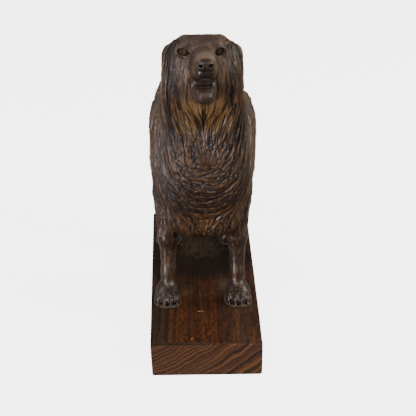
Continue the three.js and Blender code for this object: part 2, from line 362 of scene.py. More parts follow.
# Places on the dog's left side, as (x, y, height), and the way the hair lies there. All but the middle
# ones are mirrored. A stroke may be cut either way, so a way and its opposite mean the same.
LIE = (
    ((25, -60, 190), (0, 0, -1)),  # ear
    ((25, -60, 165), (0.05, 0, -1)),
    ((22, -50, 175), (0, 0.25, -1)),
    ((13, -70, 180), (0.12, 0, -1)),  # cheek
    ((14, -64, 163), (0.1, 0.1, -1)),
    ((7, -62, 206), (0.25, 1, 0)),  # crown
    ((0, -50, 203), (0, 1, -0.3)),
    ((0, -38, 188), (0, 0.8, -1)),  # nape
    ((14, -38, 172), (0.15, 0.8, -1)),
    ((24, -38, 160), (0.1, 0.5, -1)),
    ((29, -28, 148), (0, 0.1, -1)),
    ((0, -72, 160), (0, -0.2, -1)),  # throat
    ((9, -70, 152), (-0.3, 0, -1)),
    ((15, -66, 140), (-0.4, 0, -1)),  # upper breast, drawing in downwards
    ((25, -58, 142), (-0.22, 0, -1)),
    ((33, -42, 142), (-0.22, -0.1, -1)),
    ((0, -70, 128), (0.05, 0, -1)),  # middle of the breast
    ((9, -69, 124), (-0.4, 0, -1)),
    ((19, -64, 122), (-0.45, 0, -1)),
    ((29, -52, 120), (-0.38, -0.1, -1)),
    ((36, -30, 120), (-0.15, -0.25, -1)),
    ((0, -69, 110), (1, 0, 0)),  # lower breast, in hanging arcs
    ((0, -66, 96), (1, 0, 0)),
    ((0, -60, 80), (1, 0, 0)),
    ((9, -68, 107), (-0.9, 0, -0.5)),
    ((18, -62, 102), (-0.75, 0, -0.75)),
    ((28, -51, 100), (-0.5, 0, -1)),
    ((35, -34, 98), (-0.25, -0.25, -1)),
    ((10, -64, 88), (-1, 0, -0.3)),
    ((19, -58, 84), (-0.85, 0, -0.55)),
    ((28, -46, 82), (-0.5, 0, -0.9)),
    ((8, -55, 62), (-0.3, 0, -1)),
    ((21, -50, 64), (-0.3, 0, -1)),
    ((37, -6, 142), (0, 0.9, -0.8)),  # side
    ((37, -14, 116), (0, 0.5, -1)),
    ((36, -18, 88), (0, 0.4, -1)),
    ((35, 14, 132), (0, 1, -0.5)),
    ((35, 14, 106), (0, 0.9, -0.8)),
    ((32, 14, 86), (0, 0.6, -1)),
    ((34, 42, 132), (0, 1, -0.4)),
    ((34, 36, 104), (0, 0.8, -0.9)),
    ((36, 62, 112), (0, 0.5, -1)),
    ((34, 56, 84), (0, 0.1, -1)),
    ((30, 78, 104), (-0.2, 0.5, -1)),
    ((0, -14, 152), (0, 1, -0.15)),  # back
    ((0, 20, 146), (0, 1, 0)),
    ((0, 54, 145), (0, 1, -0.1)),
    ((16, 20, 142), (0.2, 1, -0.25)),
    ((12, 86, 112), (0, 0.2, -1)),  # breeches
    ((16, 88, 84), (0, 0, -1)),
    ((0, 90, 128), (0, 1, -1)),  # tail
    ((0, 105, 100), (0, 0.1, -1)),
    ((7, 98, 80), (0, 0.15, -1)),
    ((14, 10, 74), (0, 0.5, -1)),  # fringe under the belly
    ((31, -30, 62), (-0.05, -0.1, -1)),  # legs
    ((31, -36, 36), (0, 0, -1)),
    ((31, 56, 62), (0, 0.5, -1)),
    ((31, 74, 36), (0, 0.2, -1)),
)


def lie_tensors():
    places, tensors = [], []
    for place, way in LIE:
        for side in (1, -1) if place[0] else (1,):
            way_here = np.array((side * way[0], way[1], way[2])) / np.linalg.norm(way)
            places.append((side * place[0], place[1], place[2] + GROUND))
            tensors.append(np.outer(way_here, way_here).ravel())
    return np.array(places, np.float32), np.array(tensors, np.float32)


LIE_PLACES, LIE_TENSORS = lie_tensors()


def lie_of_coat(points, normals):
    """A unit vector along the surface at each point, the way the nearby hair lies."""
    away2 = ((points[:, None, :] - LIE_PLACES[None]) ** 2).sum(2)
    weights = 1 / (away2 + 9.0) ** 2
    tensor = (weights @ LIE_TENSORS / weights.sum(1, keepdims=True)).reshape(-1, 3, 3)
    flat = np.eye(3, dtype=np.float32) - normals[:, :, None] * normals[:, None, :]
    tensor = flat @ tensor @ flat
    for _ in range(5):  # squaring leaves only the strongest direction
        tensor = tensor / np.maximum(np.trace(tensor, axis1=1, axis2=2), 1e-12)[:, None, None]
        tensor = tensor @ tensor
    strongest = np.argmax(np.diagonal(tensor, axis1=1, axis2=2), 1)
    way = tensor[np.arange(len(points)), :, strongest]
    return way / np.maximum(np.linalg.norm(way, axis=1, keepdims=True), 1e-12)


def ramp(value, low, high):
    """0 below low, 1 above high, and smooth between."""
    share = np.clip((value - low) / (high - low), 0, 1)
    return share * share * (3 - 2 * share)


def coat(points):
    """1 where the figure has hair and 0 where it is cut smooth: the legs, the muzzle and round the eyes."""
    height = points[:, 2] - GROUND
    q = to_head(points)
    across = np.abs(q[:, 0])
    low = 1 - ramp(q[:, 2], -9, -4)  # beside the mouth the hair comes closer in than beside the muzzle
    face = (1 - ramp(q[:, 1], -13, -9)) * (1 - ramp(across + 3.5 * low, 9, 12)) * ramp(q[:, 2], -30, -26)
    eye = np.linalg.norm((mirrored(q, EYE_SHIFT) - EYE_PLACE) / (6, 6, 5), axis=1)
    brow = 0.75 * ramp(q[:, 2], 6, 10) * (1 - ramp(across, 13, 17)) * (1 - ramp(q[:, 1], 8, 14))
    return ramp(height, 46, 62) * (1 - face) * ramp(eye, 0.9, 1.3) * (1 - brow)


def cubes(points, size):
    """The little cubes of space that points lie in, each as three whole numbers."""
    return np.floor(points / size).astype(np.int64)


def codes(numbers):
    """One number for each cube, made of its three."""
    span = 4001
    return (numbers[:, 0] * span + numbers[:, 1]) * span + numbers[:, 2]


def seeds(points, spacing):
    """The numbers of vertices that lie scattered, one in each little cube of space."""
    order = RANDOM.permutation(len(points))
    return order[np.unique(codes(cubes(points[order], spacing)), return_index=True)[1]]


def trace(points, normals, length, step, wave, wave_length):
    """Follows the coat both ways. Returns places, ways, normals and shares of the length."""
    half = int(np.ceil(length.max() / step / 2))
    phase = RANDOM.uniform(0, 2 * math.pi, len(points))
    first = lie_of_coat(points, normals)
    found = []
    for sign in (1, -1):
        place, normal, heading = points, normals, sign * first
        for n in range(half):
            if n or sign == 1:
                share = sign * n * step / length + 0.5
                found.append((place, heading, normal, share))
            way = lie_of_coat(place, normal)
            way = way * np.sign((way * heading).sum(1, keepdims=True) + 1e-9)
            angle = wave * np.sin(phase + sign * (n + 0.5) * step * 2 * math.pi / wave_length)
            side = np.cross(normal, way)
            way = way * np.cos(angle)[:, None] + sign * side * np.sin(angle)[:, None]
            place, normal = settle(place + way.astype(np.float32) * step)
            heading = way
    return [np.stack(values) for values in zip(*found)]


def carve(vertices, tracks, half_width, depth, step, cell):
    """How deep strokes along the tracks cut at each vertex: rounded grooves, the deepest one counting."""
    places, ways, normals, shares = tracks
    live = (shares > 0) & (shares < 1)
    taper = np.sin(np.pi * np.clip(shares, 0, 1)) ** 0.7
    deep = (taper * depth[None])[live]
    wide = ((0.45 + 0.55 * taper) * half_width[None])[live]
    places, ways, normals = places[live], ways[live], normals[live]
    keys = codes(cubes(vertices, cell))
    order = np.argsort(keys, kind="stable")
    keys = keys[order]
    base = cubes(places, cell)
    out = np.zeros(len(vertices), np.float32)
    offsets = [(i, j, k) for i in (-1, 0, 1) for j in (-1, 0, 1) for k in (-1, 0, 1)]
    for offset in offsets:
        key = codes(base + offset)
        low, high = np.searchsorted(keys, key, "left"), np.searchsorted(keys, key, "right")
        count = high - low
        stroke = np.repeat(np.arange(len(key)), count)
        within = np.arange(count.sum()) - np.repeat(np.cumsum(count) - count, count)
        vertex = order[low[stroke] + within]
        apart = vertices[vertex] - places[stroke]
        along = (apart * ways[stroke]).sum(1)
        keep = np.abs(along) < 0.62 * step
        stroke, vertex, apart, along = stroke[keep], vertex[keep], apart[keep], along[keep]
        above = (apart * normals[stroke]).sum(1)
        across2 = (apart * apart).sum(1) - along**2 - above**2
        level = deep[stroke] * (1 - np.maximum(across2, 0) / wide[stroke] ** 2)
        good = (level > 0) & (np.abs(above) < 2.5)
        np.maximum.at(out, vertex[good], level[good].astype(np.float32))
    return out


# ---- Objects ----


def quad_object(name, points_mm, quads, values=()):
    """A smooth-shaded mesh object in metres, with any named values held at its vertices."""
    mesh = bpy.data.meshes.new(name)
    mesh.vertices.add(len(points_mm))
    mesh.vertices.foreach_set("co", (points_mm * MM).astype(np.float32).ravel())
    mesh.loops.add(quads.size)
    mesh.loops.foreach_set("vertex_index", quads.astype(np.int32).ravel())
    mesh.polygons.add(len(quads))
    mesh.polygons.foreach_set("loop_start", np.arange(0, quads.size, 4, dtype=np.int32))
    mesh.update(calc_edges=True)
    mesh.shade_smooth()
    for label, numbers in values:
        layer = mesh.attributes.new(label, "FLOAT", "POINT")
        layer.data.foreach_set("value", numbers.astype(np.float32))
    thing = bpy.data.objects.new(name, mesh)
    bpy.context.scene.collection.objects.link(thing)
    return thing


def turned_object(name, profile, around, centre, axes):
    """A surface turned about the last of three axes, through a profile of (radius, height) in mm."""
    side, up, along = axes
    angles = np.linspace(0, 2 * math.pi, around, endpoint=False)
    rim = np.cos(angles)[:, None] * side + np.sin(angles)[:, None] * up
    points = np.concatenate([centre + radius * rim + height * along for radius, height in profile])
    n = np.arange(around)
    following = (n + 1) % around
    quads = []
    for row in range(0, (len(profile) - 1) * around, around):
        quads.append(np.stack([row + around + n, row + around + following, row + following, row + n], 1))
    return quad_object(name, points, np.concatenate(quads))


def part_of_object(thing, node, material):
    """The piece rides on the one body, stands for its CAD node and shows its material."""
    thing.data.materials.append(material)
    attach(thing, "root")
    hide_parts(node)


# ---- Materials ----


class Shader:
    """A material's node tree, built by calls that return sockets. Places and distances are in mm."""

    def __init__(self, name):
        self.material = bpy.data.materials.new(name)
        self.material.use_nodes = True
        self.tree = self.material.node_tree
        self.colour = None
        place = self.node("ShaderNodeTexCoord").outputs["Object"]
        self.place = self.vector("SCALE", place, scale=1 / MM)

    def node(self, kind, **settings):
        made = self.tree.nodes.new(kind)
        for key, value in settings.items():
            setattr(made, key, value)
        return made

    def set(self, socket, value):
        if isinstance(value, bpy.types.NodeSocket):
            self.tree.links.new(value, socket)
        elif isinstance(value, tuple) and len(value) == 3 and socket.type == "RGBA":
            socket.default_value = (*value, 1)
        else:
            socket.default_value = value

    def fill(self, node, **values):
        """Sets a node's inputs by their names, written with _ for a space."""
        for key, value in values.items():
            self.set(node.inputs[key.replace("_", " ")], value)

    def surface(self, **values):
        self.fill(self.tree.nodes["Principled BSDF"], **values)

    def vector(self, operation, a, b=None, scale=None):
        made = self.node("ShaderNodeVectorMath", operation=operation)
        self.set(made.inputs[0], a)
        if b is not None:
            self.set(made.inputs[1], b)
        if scale is not None:
            self.set(made.inputs["Scale"], scale)
        return made.outputs["Value" if operation == "LENGTH" else "Vector"]

    def math(self, operation, a, b=None):
        made = self.node("ShaderNodeMath", operation=operation)
        self.set(made.inputs[0], a)
        if b is not None:
            self.set(made.inputs[1], b)
        return made.outputs[0]

    def times(self, *values):
        return reduce(partial(self.math, "MULTIPLY"), values)

    def plus(self, *values):
        return reduce(partial(self.math, "ADD"), values)

    def most(self, *values):
        return reduce(partial(self.math, "MAXIMUM"), values)

    def apart(self, value, number):
        """How far a value is from a number."""
        return self.math("ABSOLUTE", self.math("SUBTRACT", value, number))

    def far(self, place, squash=(1, 1, 1)):
        """How far it is to a place, counting each axis as much as squash says."""
        away = self.vector("SUBTRACT", self.place, place)
        return self.vector("LENGTH", self.vector("MULTIPLY", away, squash))

    def near_head(self, place, squash, outer, inner):
        """1 near a place in the head's frame and 0 further off."""
        place = tuple(float(v) for v in from_head(np.array(place)))
        return self.ramp(self.far(place, squash), outer, inner)

    def axes(self):
        made = self.node("ShaderNodeSeparateXYZ")
        self.set(made.inputs[0], self.place)
        return made.outputs

    def noise(self, stretch=(1, 1, 1), scale=1.0, detail=3.0, rough=0.55, bend=0.0):
        made = self.node("ShaderNodeTexNoise")
        place = self.vector("MULTIPLY", self.place, stretch)
        self.fill(made, Vector=place, Scale=scale, Detail=detail, Roughness=rough, Distortion=bend)
        return made.outputs["Fac"]

    def noise_along(self, value, scale, detail=3.0, rough=0.6):
        made = self.node("ShaderNodeTexNoise", noise_dimensions="1D")
        self.fill(made, W=value, Scale=scale, Detail=detail, Roughness=rough)
        return made.outputs["Fac"]

    def cells(self, scale, stretch):
        made = self.node("ShaderNodeTexVoronoi")
        self.fill(made, Vector=self.vector("MULTIPLY", self.place, stretch), Scale=scale)
        return made.outputs["Distance"]

    def ramp(self, value, low, high, to_low=0.0, to_high=1.0, kind="SMOOTHSTEP"):
        made = self.node("ShaderNodeMapRange", interpolation_type=kind)
        self.fill(made, Value=value, From_Min=low, From_Max=high, To_Min=to_low, To_Max=to_high)
        return made.outputs[0]

    def mix(self, share, a, b):
        made = self.node("ShaderNodeMix", data_type="RGBA")
        self.fill(made, Factor=share, A=a, B=b)
        return made.outputs["Result"]

    def paint(self, colour, *shares):
        """Lays a colour over what the material has so far, as thickly as the shares' product says."""
        self.colour = self.mix(self.times(*shares), self.colour, colour)

    def colours(self, value, *stops):
        made = self.node("ShaderNodeValToRGB")
        self.set(made.inputs[0], value)
        elements = made.color_ramp.elements
        while len(elements) < len(stops):
            elements.new(0.5)
        for element, (where, colour) in zip(elements, stops):
            element.position = where
            element.color = (*colour, 1)
        return made.outputs[0]

    def held(self, name):
        """A value held at the mesh's vertices."""
        return self.node("ShaderNodeAttribute", attribute_name=name).outputs["Fac"]

    def bump(self, *layers):
        """Heights in mm, each given with its strength, laid one over another."""
        normal = None
        for height, depth in layers:
            made = self.node("ShaderNodeBump")
            self.fill(made, Height=height, Strength=1.0, Distance=depth * MM)
            if normal is not None:
                self.set(made.inputs["Normal"], normal)
            normal = made.outputs["Normal"]
        return normal


def figure_wood():
    s = Shader("figure_wood")
    cut_depth = s.held("cut")
    hair = s.held("coat")
    x, y, z = s.axes()
    height = s.math("SUBTRACT", z, GROUND)
    streaks = s.noise(stretch=(1, 1, 0.1), scale=0.32, detail=5, rough=0.65, bend=0.4)
    patches = s.noise(scale=0.045, rough=0.6)
    fine = s.noise(stretch=(1, 1, 0.12), scale=1.4, detail=4)
    flecks = s.noise(stretch=(1, 1, 0.4), scale=0.75, rough=0.7)
    umber, brown, amber = (0.026, 0.015, 0.01), (0.072, 0.042, 0.025), (0.3, 0.13, 0.034)
    s.colour = s.colours(streaks, (0.3, umber), (0.5, brown), (0.68, (0.13, 0.072, 0.037)))
    warm = s.times(s.ramp(patches, 0.5, 0.66), s.ramp(fine, 0.42, 0.62))
    s.paint(amber, warm, 0.7)
    # a paler patch of sapwood at the throat, and a redder one low on the breast
    throat = s.far((-1.5, -66, 152 + GROUND), (0.68, 0.4, 0.95))
    throat = s.ramp(s.plus(throat, s.ramp(flecks, 0.2, 0.8, -6, 6)), 18, 8)
    s.paint((0.32, 0.18, 0.06), throat, s.ramp(fine, 0.35, 0.6, 0.45, 0.85))
    belly = s.far((0, -62, 82 + GROUND), (0.9, 0.4, 0.85))
    belly = s.ramp(s.plus(belly, s.ramp(patches, 0.3, 0.7, -8, 8)), 20, 8)
    s.paint((0.12, 0.042, 0.01), belly, s.ramp(fine, 0.35, 0.6, 0.25, 0.7))
    # a pale band along the bottom of the breast
    band = s.ramp(s.plus(s.apart(height, 57), s.ramp(flecks, 0, 1, -6, 6)), 6, 1)
    band = s.times(band, s.ramp(y, -36, -44))
    s.paint((0.22, 0.115, 0.03), band, 0.6)
    # the legs are darker, the paws darker still, and painted shade darkens the hind paws, which stand under
    # the belly
    legs = s.ramp(height, 76, 50)
    s.paint((0.022, 0.013, 0.009), legs, s.ramp(streaks, 0.66, 0.5, 0.3, 0.9))
    paws = s.ramp(height, 17, 9)
    s.paint((0.012, 0.008, 0.008), paws, s.ramp(streaks, 0.62, 0.45, 0.5, 0.95))
    hind = s.times(s.ramp(height, 24, 14), s.ramp(y, 10, 30))
    s.paint((0.012, 0.008, 0.006), hind, 0.8)
    # the middle of the breast is darker than the sides
    breast = s.ramp(s.far((0, -66, 112 + GROUND), (0.9, 0.5, 0.5)), 22, 10)
    s.paint(umber, breast, 0.8)
    # flecks of amber and dark pores all over
    s.paint(amber, s.ramp(flecks, 0.57, 0.68, 0, 0.6))
    s.paint((0.012, 0.007, 0.005), s.ramp(flecks, 0.42, 0.33, 0, 0.6))
    # the forehead and the jaw are dark with a few flecks, and a painted pale sheen lies on the top of the
    # muzzle
    face = s.near_head((0, -14, 10), (0.6, 0.8, 0.6), 13, 8)
    jaw = s.near_head((0, -24, -16), (0.8, 0.7, 0.8), 13, 9)
    bare = s.most(face, jaw)
    s.paint(umber, bare, s.ramp(fine, 0.35, 0.6, 0.98, 0.8))
    painted_muzzle_sheen = s.near_head((1.2, -28, 8.5), (0.8, 0.9, 1.2), 10, 4)
    s.paint((0.19, 0.145, 0.11), painted_muzzle_sheen, 0.6)
    s.paint(amber, bare, s.ramp(flecks, 0.54, 0.64, 0, 0.17))
    # the lips and the nose are darker, painted shade darkens the inside of the mouth, and the tongue has
    # paler ridges
    lip = s.near_head((0, -37, -4), (0.75, 0.8, 0.9), 8, 5)
    s.paint((0.024, 0.013, 0.008), lip, s.ramp(flecks, 0.4, 0.6, 0.8, 0.3))
    nose = s.near_head((0, -39, 0.5), (0.92, 1, 0.68), 7.5, 4.5)
    s.paint((0.014, 0.009, 0.008), nose, 0.8)
    mouth = s.near_head((0, -19, -10.5), (0.82, 0.4, 1.0), 7.5, 4.5)
    s.paint((0.011, 0.006, 0.003), mouth, 0.9)
    tongue = s.ramp(s.math("COSINE", s.times(s.plus(y, 62.0), TONGUE_RIDGES)), 0.3, 0.9)
    tongue = s.times(tongue, s.near_head((0, -19, -13), (0.95, 0.45, 1.0), 6, 4))
    s.paint((0.1, 0.06, 0.025), tongue, 0.6)
    # painted shade darkens the bottoms of the cuts, and a painted highlight makes the ridges between them
    # paler, most of all as a painted sheen on the shoulders and flanks
    s.paint((0.007, 0.0045, 0.004), s.ramp(cut_depth, 0.35, 0.95, 0, 0.88))
    ridge_highlight = s.times(hair, s.ramp(cut_depth, 0.3, 0.05, 0, 0.35))
    s.paint((0.17, 0.1, 0.058), ridge_highlight)
    flank = s.times(s.ramp(s.math("ABSOLUTE", x), 23, 34), s.ramp(height, 70, 112, 0.35, 1))
    flank_sheen = s.times(s.plus(ridge_highlight, 0.05), s.ramp(fine, 0.4, 0.6, 1.2, 3.0))
    s.paint((0.42, 0.31, 0.22), flank, flank_sheen)
    # pale wax left where the figure meets the plinth
    seam = s.plus(height, s.ramp(flecks, 0.2, 0.8, -0.5, 0.5))
    s.paint((0.2, 0.16, 0.11), s.ramp(seam, 0.9, 0.3, 0, 0.5))
    # a dull polish, duller in the cuts, on the bare face and on the paws
    polish = s.ramp(s.noise(scale=0.2), 0.3, 0.7, 0.3, 0.45)
    matt = s.most(face, painted_muzzle_sheen, s.times(jaw, 0.7), hind, s.times(paws, 0.15))
    roughness = s.plus(polish, s.ramp(cut_depth, 0.3, 1.0, 0, 0.2), s.times(matt, 0.22))
    s.surface(Base_Color=s.colour, Roughness=roughness, Specular_IOR_Level=0.42)
    s.surface(Coat_Weight=0.1, Coat_Roughness=0.2)
    facets = s.times(s.cells(0.24, stretch=(1, 1, 0.4)), s.ramp(hair, 0.2, 0.9, 1, 0.25))
    s.surface(Normal=s.bump((facets, 0.25), (fine, 0.08), (flecks, 0.06)))
    return s.material


def plinth_wood():
    s = Shader("plinth_wood")
    x, y, z = s.axes()
    # the second colour is the painted shade along the front arris and also the scored line's colour
    dark, arris_shade_and_score = (0.014, 0.008, 0.006), (0.012, 0.008, 0.006)
    # growth rings round a heart that lies beyond the block's upper left, running along the block
    heart = (-97.5, 0, 163.0)
    wander = s.noise(stretch=(1, 0.05, 1), scale=0.028, detail=2)
    ripple = s.noise(stretch=(1, 0.03, 1), scale=0.3, detail=2)
    ring = s.far(heart, (1, 0, 1))
    ring = s.plus(ring, s.ramp(wander, 0.2, 0.8, -3.5, 3.5), s.ramp(ripple, 0.2, 0.8, -0.2, 0.2))
    s.colour = s.colours(
        s.ramp(ring, 148, 213, kind="LINEAR"),
        (0.0, (0.02, 0.015, 0.011)),
        (0.085, (0.028, 0.018, 0.011)),
        (0.1, (0.1, 0.032, 0.008)),
        (0.125, (0.032, 0.0125, 0.0055)),
        (0.2, (0.031, 0.01, 0.0037)),
        (0.38, (0.029, 0.009, 0.0034)),
        (0.44, (0.022, 0.013, 0.01)),
        (0.49, (0.028, 0.016, 0.012)),
        (0.53, (0.07, 0.034, 0.018)),
        (0.62, (0.045, 0.023, 0.014)),
        (0.7, (0.08, 0.037, 0.019)),
    )
    lines = s.noise_along(ring, 0.8, rough=0.75)
    s.paint((0.15, 0.055, 0.016), s.ramp(lines, 0.48, 0.4, 0, 0.35))
    s.paint(dark, s.ramp(lines, 0.53, 0.6, 0, 0.55))
    streaks = s.noise(stretch=(1, 0.03, 1), scale=0.6, rough=0.7)
    s.paint((0.1, 0.038, 0.015), s.ramp(streaks, 0.52, 0.58, 0, 0.5))
    s.paint(dark, s.ramp(streaks, 0.46, 0.4, 0, 0.5))
    pores = s.noise(stretch=(1, 0.16, 1), scale=0.95, rough=0.7)
    s.paint((0.009, 0.005, 0.0035), s.ramp(pores, 0.53, 0.6, 0, 0.75))
    # orange flecks down the middle, and a brown mottle everywhere
    flecks = s.noise(stretch=(1, 0.4, 1), scale=0.8, detail=4, rough=0.75)
    middle = s.times(s.ramp(s.apart(x, -5.0), 22, 13), s.ramp(y, -45, -75, 0.45, 1))
    s.paint((0.18, 0.052, 0.011), s.ramp(flecks, 0.5, 0.62, 0, 0.65), middle)
    mottle = s.noise(scale=0.2)
    s.paint((0.02, 0.008, 0.004), s.ramp(mottle, 0.4, 0.7, 0, 0.35))
    # painted shade on the part that the belly overhangs
    under = s.plus(s.far((-1, 31, GROUND), (0.9, 0.82, 0.1)), s.ramp(mottle, 0.3, 0.7, -3, 3))
    s.paint((0.008, 0.005, 0.0035), s.ramp(under, 44, 26, 0, 0.85))
    # painted olive-grey patches of light round the paws and between the hind legs
    for patch_x, patch_y, across in ((17, -20, 8), (12, -30, 6), (-15, -27, 7), (0, 62, 22)):
        painted_light_patch = s.plus(s.far((patch_x, patch_y, GROUND), (1, 0.6, 0.1)), s.ramp(mottle, 0.35, 0.65, -5, 5))
        painted_light_patch = s.ramp(painted_light_patch, across, across - 3.0, 0, 0.5)
        s.paint((0.07, 0.055, 0.03), painted_light_patch, s.ramp(pores, 0.42, 0.58, 0.1, 1))
    # the end grain shows its rings more clearly than the long grain does, some broad and some fine
    end = s.math("GREATER_THAN", s.math("ABSOLUTE", y), FRONT - 1)
    threads = s.noise_along(ring, 1.0, detail=2, rough=0.5)
    broad = s.ramp(s.noise_along(ring, 0.24, detail=1), 0.35, 0.65, -0.08, 0.08)
    broad = s.times(broad, s.ramp(x, -5, 20, 0.35, 1.5))
    speckle = s.ramp(s.noise(scale=1.4), 0.3, 0.7, -0.07, 0.07)
    level = s.plus(threads, broad, speckle)
    ends = s.mix(s.ramp(level, 0.64, 0.4), (0.024, 0.016, 0.014), (0.135, 0.062, 0.03))
    ends = s.mix(s.ramp(level, 0.4, 0.3, 0, 0.3), ends, (0.32, 0.13, 0.045))
    s.paint(ends, end, 0.9)
    # painted shade along the front arris, and a scored line a little behind it on the dog's right
    arris = s.plus(y, FRONT, s.math("SUBTRACT", GROUND, z))
    s.paint(arris_shade_and_score, s.ramp(arris, 1.9, 0.9, 0, 0.8))
    scored = s.times(s.ramp(s.apart(y, -99.4), 0.8, 0.4), s.ramp(x, -12, -22))
    s.paint(arris_shade_and_score, scored, 0.7)
    # a short pale scratch between the forepaws and a chipped speck near the front edge
    s.paint((0.42, 0.27, 0.16), s.ramp(s.far((-3.3, -62.7, GROUND), (1, 5.5, 1)), 2.6, 2.0))
    s.paint((0.5, 0.24, 0.04), s.ramp(s.far((-9.9, -101.3, GROUND)), 1.0, 0.5))
    polish = s.ramp(s.noise(scale=0.1), 0.3, 0.7, 0.36, 0.5)
    roughness = s.plus(polish, s.ramp(pores, 0.55, 0.7, 0, 0.15))
    s.surface(Base_Color=s.colour, Roughness=roughness, Specular_IOR_Level=0.22)
    planing = s.noise(stretch=(0.3, 0.03, 0.3), detail=2)
    s.surface(Normal=s.bump((planing, 0.25), (pores, -0.07), (lines, 0.05)))
    return s.material


def dowel_wood():
    s = Shader("dowel_wood")
    grain = s.noise(stretch=(1, 1, 0.06), scale=2.2, detail=4)
    colour = s.colours(grain, (0.35, (0.3, 0.17, 0.08)), (0.62, (0.52, 0.35, 0.19)))
    s.surface(Base_Color=colour, Roughness=s.ramp(grain, 0.3, 0.7, 0.75, 0.55))
    s.surface(Normal=s.bump((grain, 0.06)))
    return s.material


def amber_glass(name, centre, look, shade):
    """Amber glass with a dark pupil, ringed round the way the eye looks, and darkened by painted shade as
    much as shade says.
    """
    s = Shader(name)
    apart = s.vector("SUBTRACT", s.place, tuple(float(v) for v in centre))
    across = s.vector("CROSS_PRODUCT", apart, tuple(float(v) for v in look))
    away = s.plus(s.vector("LENGTH", across), s.ramp(s.noise(scale=0.9), 0.3, 0.7, -0.5, 0.5))
    s.colour = s.colours(
        s.ramp(away, 0, EYE_RADIUS),
        (0.0, (0.026, 0.014, 0.009)),
        (0.28, (0.034, 0.018, 0.01)),
        (0.5, (0.06, 0.032, 0.016)),
        (0.75, (0.085, 0.045, 0.02)),
        (0.95, (0.045, 0.025, 0.013)),
    )
    # painted shade darkens the whole eye
    s.paint((0.02, 0.012, 0.009), shade)
    roughness = s.ramp(s.noise(scale=3.0), 0.3, 0.7, 0.5, 0.62)
    s.surface(Base_Color=s.colour, Roughness=roughness, IOR=1.4, Specular_IOR_Level=0.15)
    s.surface(Normal=s.bump((s.noise(scale=1.2), 0.02)))
    return s.material


# ---- The figure ----


def make_figure():
    """The dog's surface, with every stroke of its coat cut into it."""
    lines = (
        grid_lines((-40.5, 0.9), (40.5, 0)),
        grid_lines((-107, 0.7), (-50, 0.9), (0, 1.2), (112, 0)),
        grid_lines((GROUND - 1.5, 0.8), (GROUND + 14, 0.9), (GROUND + 150, 0.72), (GROUND + 212, 0)),
    )
    points, quads = surface_quads(distances_on(lines), lines)
    points, quads = split_quads(points, quads)
    points, normals = settle(points, 2)
    hair = coat(points).astype(np.float32)
    x, y, z = points.T
    shoulders = ramp(np.abs(x), 17, 26) * ramp(-y, -8, 14) * ramp(z, 96, 116)
    # thick strands over the shoulders, broad locks everywhere else, then fine strokes over both
    levels = []
    for spacing, length, half_width, depth, step, calm, share in (
        (12.0, (36, 60), (1.0, 1.7), (0.9, 1.4), 1.2, 0.0, shoulders),
        (9.0, (20, 38), (1.0, 1.8), (0.5, 0.9), 1.4, 0.5, 1 - shoulders),
        (3.0, (9, 22), (0.42, 0.75), (0.55, 1.1), 0.8, 0.0, 1.0),
    ):
        seed = seeds(points, spacing)
        seed = seed[RANDOM.random(len(seed)) < (hair * share)[seed]]
        count = len(seed)
        place, shoulder = points[seed], shoulders[seed]
        height, forward = place[:, 2] - GROUND, -place[:, 1]
        # short curly tufts over the middle of the breast, long calm strokes everywhere else
        tuft = ramp(np.abs(height - 116), 28, 12) * ramp(forward, 46, 58)
        tuft = tuft * (1 - shoulder)
        tuft = np.maximum(tuft, ramp(np.abs(height - 62), 8, 3) * ramp(forward, 34, 44))
        reach = RANDOM.uniform(*length, count) * (1 - 0.5 * tuft) * (1 + 0.6 * shoulder)
        wide = RANDOM.uniform(*half_width, count)
        # the lower breast is cut in shallow hanging arcs, which meet the tufts in a smooth spot
        breast = ramp(np.abs(height - 88), 30, 20) * ramp(forward, 38, 52)
        spot = ramp(np.linalg.norm(place - (1, -70, 119 + GROUND), axis=1), 9, 4)
        deep = RANDOM.uniform(*depth, count) * (0.35 + 0.65 * hair[seed])
        deep = deep * (1 - calm * breast) * (1 - 0.65 * spot)
        # the cheeks are cut more finely than the ears
        cheek = ramp(np.abs(place[:, 0] - HEAD_CENTRE[0]), 18, 13) * ramp(height, 152, 162)
        deep = deep * (1 - 0.45 * cheek)
        wave = 0.1 + 0.35 * tuft + 0.15 * breast * (1 - shoulder)
        tracks = trace(place, normals[seed], reach, step, wave, 6.5)
        levels.append(carve(points, tracks, wide, deep, step, half_width[1] + 0.35) * (hair > 0.02))
    strands, locks, strokes = levels
    points = points - normals * (np.maximum(strands, locks) + strokes)[:, None]
    cut_depth = strokes + 0.35 * strands + 0.5 * locks
    return quad_object("dog_carving", points, quads, (("cut", cut_depth), ("coat", hair)))


part_of_object(make_figure(), "dog_figure", figure_wood())


# ---- The eyes ----


def make_eye(node, side, shade):
    """A glass dome on a plain shank, turned round the way it looks, with an eased rim."""
    radius, dome, shank = EYE_RADIUS, 1.9, 4.0
    centre = from_head(np.array([EYE_SHIFT + side * EYE_PLACE[0], *EYE_PLACE[1:]]))
    look = HEAD_TURN @ np.array([side * EYE_LOOK[0], *EYE_LOOK[1:]])
    look = look / np.linalg.norm(look)
    rise = [(0.02, -shank), (radius - 0.3, -shank), (radius - 0.08, -shank + 0.08), (radius, -shank + 0.3)]
    rise += [(radius * math.cos(a), dome * math.sin(a)) for a in np.linspace(0, math.pi / 2 - 0.02, 14)]
    side_way = np.cross(look, (0, 0, 1))
    side_way = side_way / np.linalg.norm(side_way)
    up_way = np.cross(side_way, look)
    name = node + "_glass"
    eye = turned_object(name, rise, 48, centre, (side_way, up_way, look))
    part_of_object(eye, node, amber_glass(name, centre, look, shade))


# painted shade darkens both eyes, the dog's left one more, as it is lit less
make_eye("eye_left", 1, 0.6)
make_eye("eye_right", -1, 0.15)


# ---- The plinth ----


